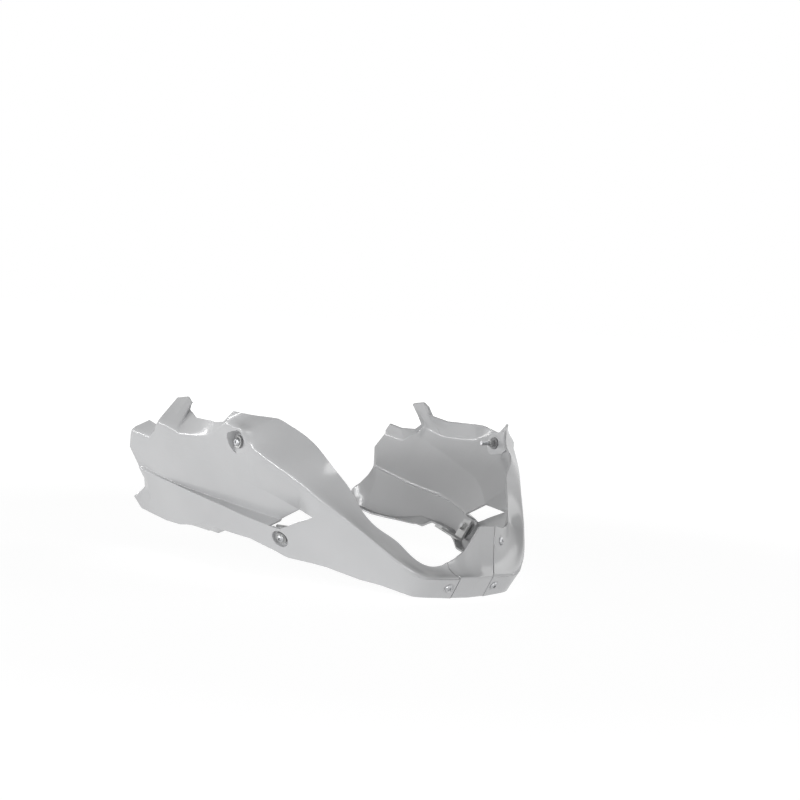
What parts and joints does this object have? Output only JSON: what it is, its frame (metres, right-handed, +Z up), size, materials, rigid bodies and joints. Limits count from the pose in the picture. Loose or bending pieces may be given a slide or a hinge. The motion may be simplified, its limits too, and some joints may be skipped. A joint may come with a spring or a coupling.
{
  "type": "belly pan",
  "caption": "Motorcycle belly pan: two moulded side panels with scooped flanks and vents, joined by a front panel with a raised tongue, with screws, grommets and brackets.",
  "frame": {"origin": "under the middle of the pan's bounding box, level with its lowest edge", "axes": "+X points forward along the pan's length to the nose, +Y to the rider's left, +Z up"},
  "size_m": [0.536, 0.4891, 0.2285],
  "materials": {
    "panel": "fine-grained satin moulded thermoplastic",
    "screw": "stainless steel",
    "zinc": "zinc-plated steel",
    "rubber": "soft black rubber"
  },
  "bodies": {
    "root": {"right_side_panel": "panel", "left_side_panel": "panel", "front_center_panel": "panel", "nose_screw_right": "screw", "nose_screw_left": "screw", "seam_screw_left": "screw", "upper_screw_right": "screw", "upper_screw_left": "screw", "lower_screw_right": "screw", "lower_screw_left": "screw", "nose_clip_nut_right": "zinc", "nose_clip_nut_left": "zinc", "seam_clip_nut_left": "zinc", "upper_washer_right": "zinc", "upper_washer_left": "zinc", "lower_washer_right": "zinc", "lower_washer_left": "zinc", "upper_bush_right": "zinc", "upper_bush_left": "zinc", "lower_bush_right": "zinc", "lower_bush_left": "zinc", "bracket_right": "zinc", "bracket_left": "zinc", "upper_grommet_right": "rubber", "upper_grommet_left": "rubber", "lower_grommet_right": "rubber", "lower_grommet_left": "rubber"}
  },
  "joints": []
}
